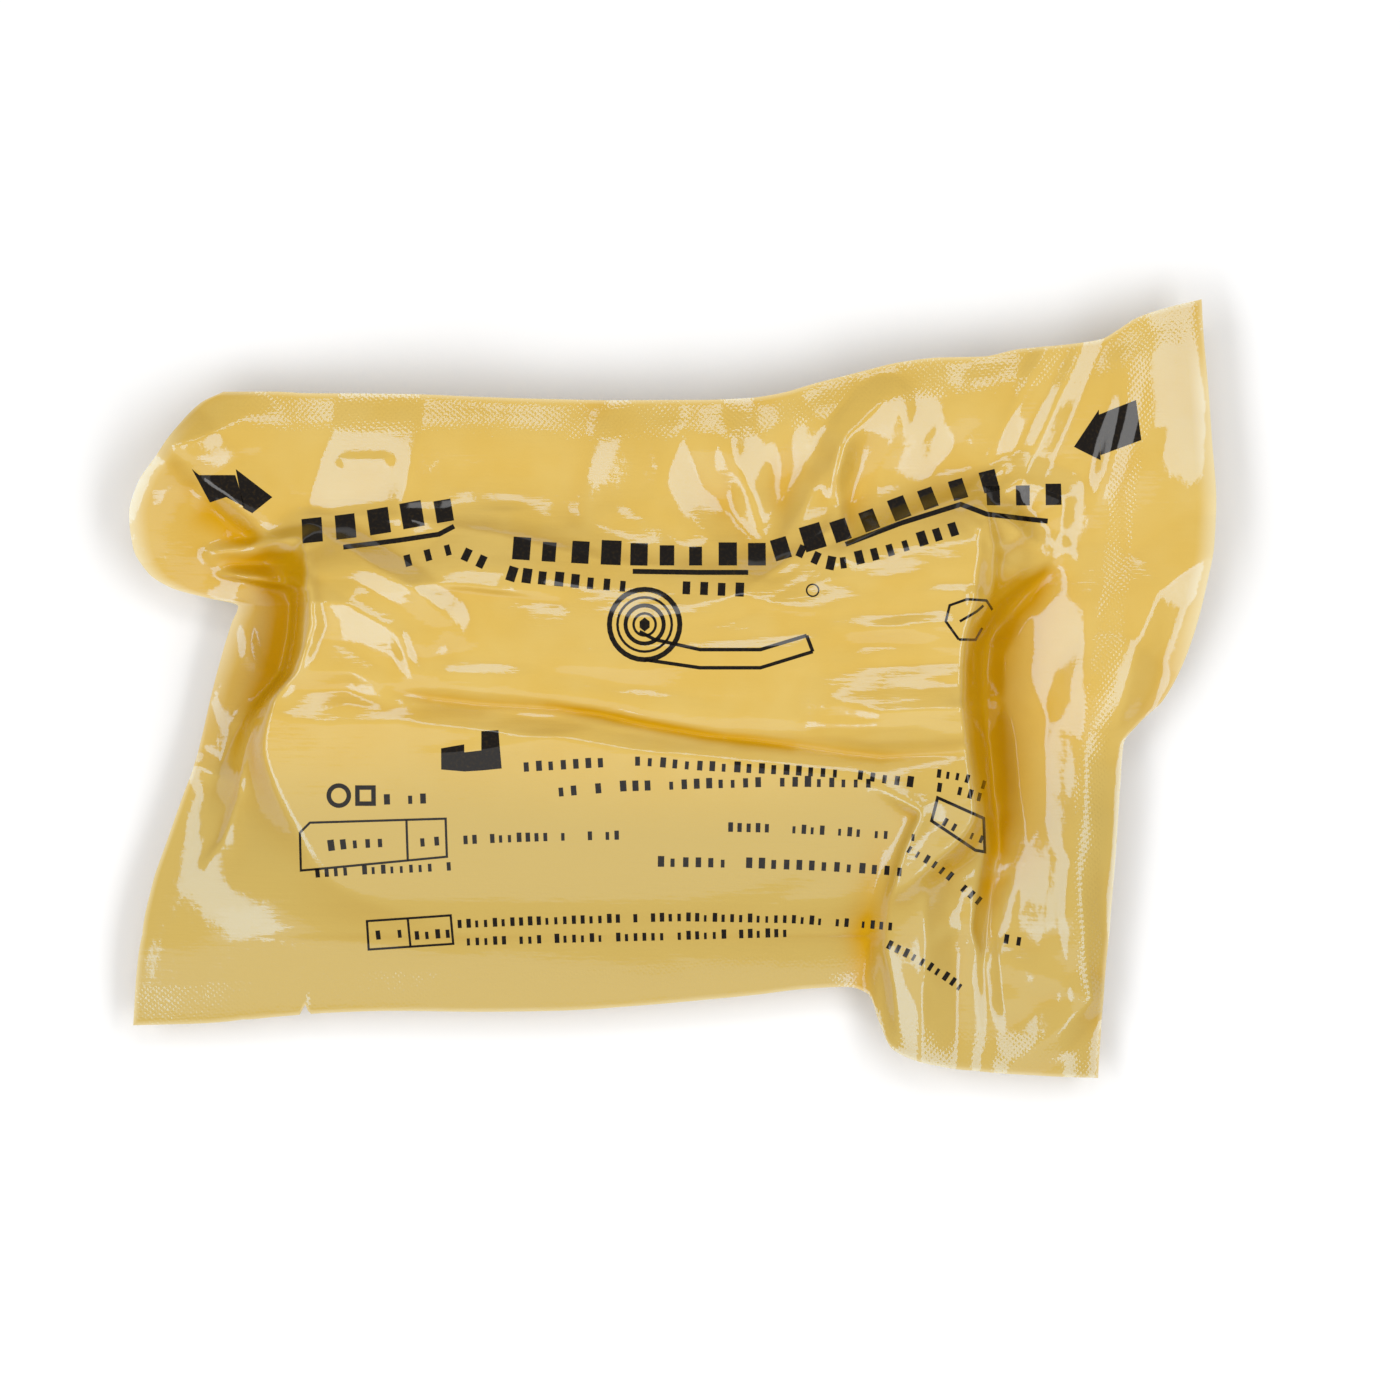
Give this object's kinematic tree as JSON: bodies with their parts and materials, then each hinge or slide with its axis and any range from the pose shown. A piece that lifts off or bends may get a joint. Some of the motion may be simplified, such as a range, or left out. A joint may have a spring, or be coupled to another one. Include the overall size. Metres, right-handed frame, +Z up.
{
  "type": "vacuum-packed emergency trauma bandage",
  "caption": "Flat-wound elastic trauma bandage, vacuum-packed in a glossy gold film pouch with wide wrinkled seal flanges.",
  "frame": {"origin": "middle of the pouch's outline, on the table", "axes": "+Z up through the printed face, +X along the roll towards the wide flange, +Y towards the head flange"},
  "size_m": [0.2178, 0.1564, 0.0276],
  "materials": {
    "gold_film_printed": "glossy golden-yellow film with dark printing",
    "gold_film_plain": "glossy golden-yellow film, plain",
    "elastic_bandage": "matt cotton and elastic weave"
  },
  "bodies": {
    "root": {"front_film": "gold_film_printed", "back_film": "gold_film_plain", "bandage_roll": "elastic_bandage"}
  },
  "joints": []
}
